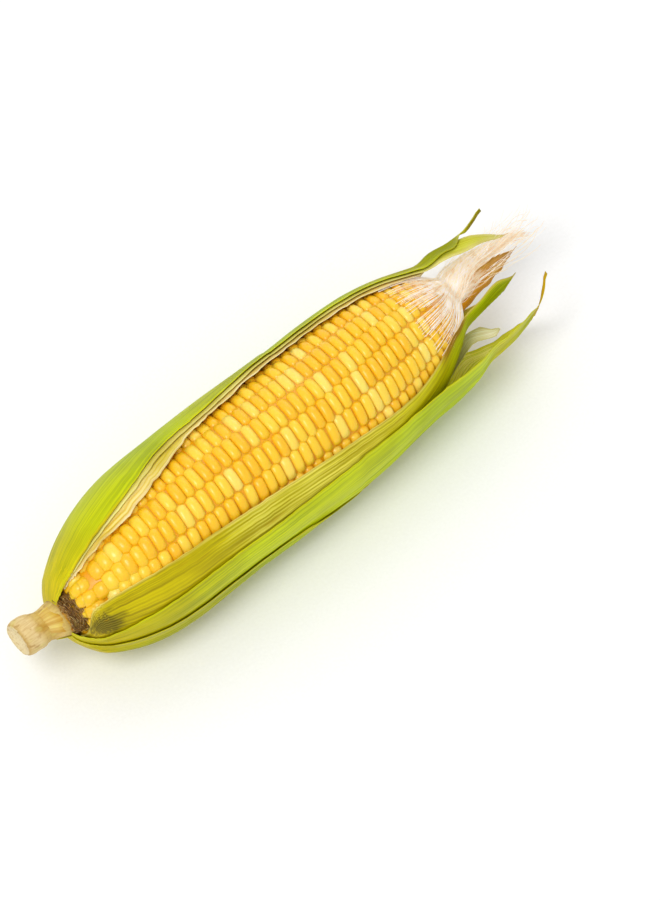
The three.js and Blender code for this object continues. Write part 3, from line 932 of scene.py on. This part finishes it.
# Cut corn stalk: pale woody fibre, browned on the cut, with fine lengthwise strands and specks.
STRANDS = (120, 1500, 1500)  # to a metre: each strand is 8 mm long and 0.7 mm wide
SPECKS = 500  # to a metre: 2 mm each
stalk, shader = new_material("cut_corn_stalk")
shader.inputs["Roughness"].default_value = 0.55
stalk_tint = add(stalk, "ShaderNodeVertexColor", {"layer_name": "tint"})
coordinates = add(stalk, "ShaderNodeTexCoord")
strand_space = add(
    stalk, "ShaderNodeMapping", {"Scale": STRANDS}, Vector=coordinates.outputs["Object"]
)
strands = add(
    stalk, "ShaderNodeTexNoise", {"Scale": 1, "Detail": 3}, Vector=strand_space.outputs[0]
)
strand_tone = ramp(stalk, strands.outputs["Fac"], (0.3, "d0b078"), (0.55, "ffffff"))
stranded = mixed(stalk, stalk_tint.outputs[0], strand_tone, 0.45, "MULTIPLY")
specks = add(
    stalk, "ShaderNodeTexNoise", {"Scale": SPECKS, "Detail": 2},
    Vector=coordinates.outputs["Object"],
)
speck_tone = ramp(stalk, specks.outputs["Fac"], (0.3, "d0b880"), (0.42, "ffffff"))
speckled = mixed(stalk, stranded, speck_tone, 0.6, "MULTIPLY")
stalk.node_tree.links.new(speckled, shader.inputs["Base Color"])
stalk_bump = add(
    stalk, "ShaderNodeBump", {"Strength": 0.4, "Distance": 0.15 * MM},
    Height=strands.outputs["Fac"],
)
stalk.node_tree.links.new(stalk_bump.outputs["Normal"], shader.inputs["Normal"])
finished("shank_stub", shank_mesh, stalk, ["shank"])

# Torn base of the peeled front leaves
# The leaves that covered the front were pulled off and left a short ragged collar on the shank,
# straw-yellow and browned along the tear.
TORN_ROOT = -0.62
TORN_EDGE = -0.36


def torn_radius(t):
    flare = max(0, husk_radius(t) - NECK_RADIUS - GAP)
    return husk_radius(t) - 0.4 * flare


bm = bmesh.new()
tint = bm.loops.layers.float_color.new("tint")
uv = bm.loops.layers.uv.new("leaf")
torn_near = along((TORN_ROOT, 66), (-0.48, 74), (-0.38, 78))
torn_far = along((TORN_ROOT, -24), (-0.48, -26), (-0.38, -26))
torn_tints = tints(
    (TORN_ROOT, "dcc478"), (-0.52, "e0cc78"), (-0.43, "d4b450"), (-0.37, "b08430"),
    (-0.32, "7c5018"),
)
for side in ("outside", "inside"):
    before = len(bm.verts)
    bmesh.ops.create_grid(bm, x_segments=60, y_segments=16, size=0.5)
    bm.verts.ensure_lookup_table()
    for v in bm.verts[before:]:
        share, w = v.co.x + 0.5, v.co.y + 0.5
        tear = 0.06 * noise.noise(Vector((share * 4, 1, 1)))
        tear += 0.03 * noise.noise(Vector((share * 17, 2, 1)))
        t = lerp(TORN_ROOT, TORN_EDGE + tear, w)
        angle = lerp(torn_near(t), torn_far(t), share)
        radius = torn_radius(t) + (0.5 if side == "outside" else 0.15) * MM
        radius -= 0.8 * MM * max(0, 1 - 3 * w)
        radius += 0.35 * MM * noise.noise(Vector((share * 4, w, 3))) * w + 0.7 * MM * w * w
        v.co = place(t, angle, radius)
        for loop in v.link_loops:
            loop[uv].uv = (share * 3, w * 6)
            loop[tint] = (*torn_tints(t - 2 * tear * w), 1)
bmesh.ops.bridge_loops(bm, edges=[e for e in bm.edges if e.is_boundary])
bmesh.ops.recalc_face_normals(bm, faces=bm.faces[:])
for face in bm.faces:
    face.smooth = True
torn_mesh = bpy.data.meshes.new("torn")
bm.to_mesh(torn_mesh)
bm.free()
finished("torn_collar", torn_mesh, golden_husk, ["husk_torn_base"])

# Silk
# Corn silk is hundreds of hair-fine threads, one from each kernel, that run over the cob's tip and
# gather into a tress. Here they are thin three-sided threads, each laid along its own path.
TRESS_ANGLE = -46
SWAY = 3000  # degrees round the ear for a metre of wobble
FULL_TURN = 6.28
random.seed(19)


def thread_shape(cuts):
    """A three-sided thread of length 1 along +Z, cut across into short lengths."""
    shape = bmesh.new()
    bmesh.ops.create_cone(shape, cap_ends=True, segments=3, radius1=1, radius2=1, depth=1)
    sides = [e for e in shape.edges if abs(e.verts[0].co.z - e.verts[1].co.z) > 0.5]
    bmesh.ops.subdivide_edges(shape, edges=sides, cuts=cuts)
    bmesh.ops.translate(shape, vec=(0, 0, 0.5), verts=shape.verts[:])
    mesh = bpy.data.meshes.new("thread_shape")
    shape.to_mesh(mesh)
    shape.free()
    return mesh


def lay_thread(bm, shape, path, thickness, value, layer):
    """Copies the thread shape along path(0..1), tapering to its end."""
    before = len(bm.verts)
    bm.from_mesh(shape)
    bm.verts.ensure_lookup_table()
    for v in bm.verts[before:]:
        w = v.co.z
        here = path(w)
        tangent = (path(min(1, w + 0.01)) - path(max(0, w - 0.01))).normalized()
        across = tangent.cross(Vector((0.3, 0.2, 1))).normalized()
        other = tangent.cross(across)
        size = thickness * (1 - 0.6 * w**3)
        v.co = here + (across * v.co.x + other * v.co.y) * size
        for loop in v.link_loops:
            loop[layer] = (value, w, 0, 1)


silk_thread = thread_shape(14)
tress_radius = along(
    (0.93, 1.0 * MM), (0.965, 5.0 * MM), (1, 8.0 * MM), (1.06, 7.0 * MM), (1.12, 5.0 * MM),
    (1.21, 2.4 * MM),
)
tress_hook = along((1.0, 0), (1.08, 1.2 * MM), (1.14, 3.0 * MM), (1.18, 6.0 * MM), (1.21, 10 * MM))


def silk_path(start, angle, end, aside, height, wave, phase, swing=0.7):
    """From its kernel, over the cob's tip, then inside the tress."""

    def path(w):
        t = lerp(start, end, w)
        snug = cob_radius(min(t, 0.999)) if t < 1 else 0
        gathered = smoothstep(t, 0.93, 1.08)
        turn = lerp(angle, lerp(angle, TRESS_ANGLE, swing), gathered) + aside * gathered
        radius = max(snug, tress_radius(t) * height) + 0.5 * MM
        wobble = wave * (0.3 + w) * math.sin(phase + w * 9)
        point = place(t, turn + wobble * SWAY * (1 - w), radius)
        return point + Vector((0, wobble - tress_hook(t) * height, 0.6 * wobble))

    return path


bm = bmesh.new()
strand = bm.loops.layers.float_color.new("strand")
for i in range(480):
    angle = random.gauss(8, 34)
    start = 0.985 - 0.14 * random.random() ** 1.6
    end = random.uniform(1.03, 1.2)
    path = silk_path(
        start, clamp(angle, -60, 62), end, random.uniform(-25, 25), random.uniform(0.3, 1.1),
        random.uniform(0.15, 0.9) * MM, random.uniform(0, FULL_TURN),
    )
    lay_thread(bm, silk_thread, path, random.uniform(0.06, 0.12) * MM, random.random(), strand)


def stray_path(start, angle, reach, rise, curl, phase):
    """A loose end that leaves the tress and curls."""
    root = place(start, angle, tress_radius(start) + 0.3 * MM) - Vector((0, tress_hook(start), 0))

    def path(w):
        swing = curl * w * w
        return root + Vector(
            (
                reach * w - swing * math.sin(phase + 3 * w),
                -math.sin(math.radians(angle)) * rise * w + swing * math.cos(phase + 3 * w),
                math.cos(math.radians(angle)) * rise * w + 0.5 * swing * math.sin(phase + 4 * w),
            )
        )

    return path


for i in range(110):
    start = random.uniform(0.97, 1.17)
    angle = random.uniform(-80, 60)
    reach = min(random.uniform(5, 24) * MM, station_x(1.22) - station_x(start))
    path = stray_path(
        start, angle, reach, random.uniform(0.5, 5) * MM, random.uniform(0, 4) * MM,
        random.uniform(0, FULL_TURN),
    )
    lay_thread(bm, silk_thread, path, random.uniform(0.06, 0.1) * MM, random.random(), strand)
# Underneath, the silk runs over the tip from every side.
for i in range(260):
    angle = random.uniform(55, 305)
    start = 0.985 - 0.1 * random.random() ** 1.4
    path = silk_path(
        start, angle, random.uniform(1.02, 1.08), random.uniform(-20, 20), random.uniform(0.05, 0.45),
        random.uniform(0.1, 0.6) * MM, random.uniform(0, FULL_TURN), swing=0.05,
    )
    lay_thread(bm, silk_thread, path, random.uniform(0.08, 0.14) * MM, random.random(), strand)
for face in bm.faces:
    face.smooth = True
silk_mesh = bpy.data.meshes.new("silk")
bm.to_mesh(silk_mesh)
bm.free()


SILK_CLUMPS = 260  # clumps to a metre, 4 mm each


def silk_material(name, painted_glow, *stops):
    """Plant silk: its colour differs from thread to thread and darkens towards the end."""
    made, shader = new_material(name)
    shader.inputs["Roughness"].default_value = 0.38
    shader.inputs["Subsurface Weight"].default_value = 0.6
    shader.inputs["Subsurface Radius"].default_value = (1.0, 0.85, 0.7)
    shader.inputs["Subsurface Scale"].default_value = 0.5 * MM
    data = add(made, "ShaderNodeVertexColor", {"layer_name": "strand"})
    parts = add(made, "ShaderNodeSeparateColor", Color=data.outputs["Color"])
    colours = ramp(made, parts.outputs["Red"], *stops)
    ends = ramp(made, parts.outputs["Green"], (0.6, "ffffff"), (1, "f4e2c6"))
    toned = mixed(made, colours, ends, 1.0, "MULTIPLY")
    coordinates = add(made, "ShaderNodeTexCoord")
    clumps = add(
        made, "ShaderNodeTexNoise", {"Scale": SILK_CLUMPS, "Detail": 2},
        Vector=coordinates.outputs["Object"],
    )
    clump_tone = ramp(made, clumps.outputs["Fac"], (0.35, "f0e2cc"), (0.6, "ffffff"))
    clumped = mixed(made, toned, clump_tone, 0.8, "MULTIPLY")
    made.node_tree.links.new(clumped, shader.inputs["Base Color"])
    # Painted glow: emission that stands in for light passed on from thread to thread.
    made.node_tree.links.new(clumped, shader.inputs["Emission Color"])
    shader.inputs["Emission Strength"].default_value = painted_glow
    return made


fresh_silk = silk_material(
    "pale_corn_silk", 0.22, (0, "ffffff"), (0.45, "fff8ec"), (0.75, "faead0"), (1, "ecca90")
)
finished("silk_threads", silk_mesh, fresh_silk, ["silk_tress"])

# Dry silk at the base
# A wad of old silk, dried dark brown, its threads criss-crossed in the hollow between the torn
# collar and the first kernels.
HOLLOW_BACK = -0.38
HOLLOW_FRONT = -0.12
random.seed(5)
bm = bmesh.new()
strand = bm.loops.layers.float_color.new("strand")
dry_thread = thread_shape(7)
hollow = along(
    (-0.6, 6.2 * MM), (-0.45, 7.4 * MM), (-0.35, 8.4 * MM), (-0.25, 9.6 * MM), (-0.1, 11.2 * MM)
)
for i in range(240):
    a0 = random.uniform(-24, 76)
    a1 = clamp(a0 + random.uniform(-50, 50), -24, 78)
    t0 = random.uniform(-0.34, HOLLOW_FRONT) - 0.0006 * max(0, a0)
    t1 = clamp(t0 + random.uniform(-0.1, 0.1), HOLLOW_BACK, HOLLOW_FRONT - 0.0008 * max(0, a1))
    bow = random.uniform(-0.3, 0.9) * MM

    def path(w, t0=t0, a0=a0, t1=t1, a1=a1, bow=bow):
        t = lerp(t0, t1, w)
        angle = lerp(a0, a1, w) + 4 * math.sin(7 * w + a0)
        return place(t, angle, hollow(t) + bow * math.sin(math.pi * w))

    lay_thread(bm, dry_thread, path, random.uniform(0.1, 0.2) * MM, random.random(), strand)
for face in bm.faces:
    face.smooth = True
dry_mesh = bpy.data.meshes.new("dry_silk")
bm.to_mesh(dry_mesh)
bm.free()
dry_silk = silk_material(
    "dried_brown_corn_silk", 0.0, (0, "664208"), (0.4, "8a5e18"), (0.7, "b88a40"), (1, "e0c080")
)
finished("dry_silk_wad", dry_mesh, dry_silk, ["silk_dry"])
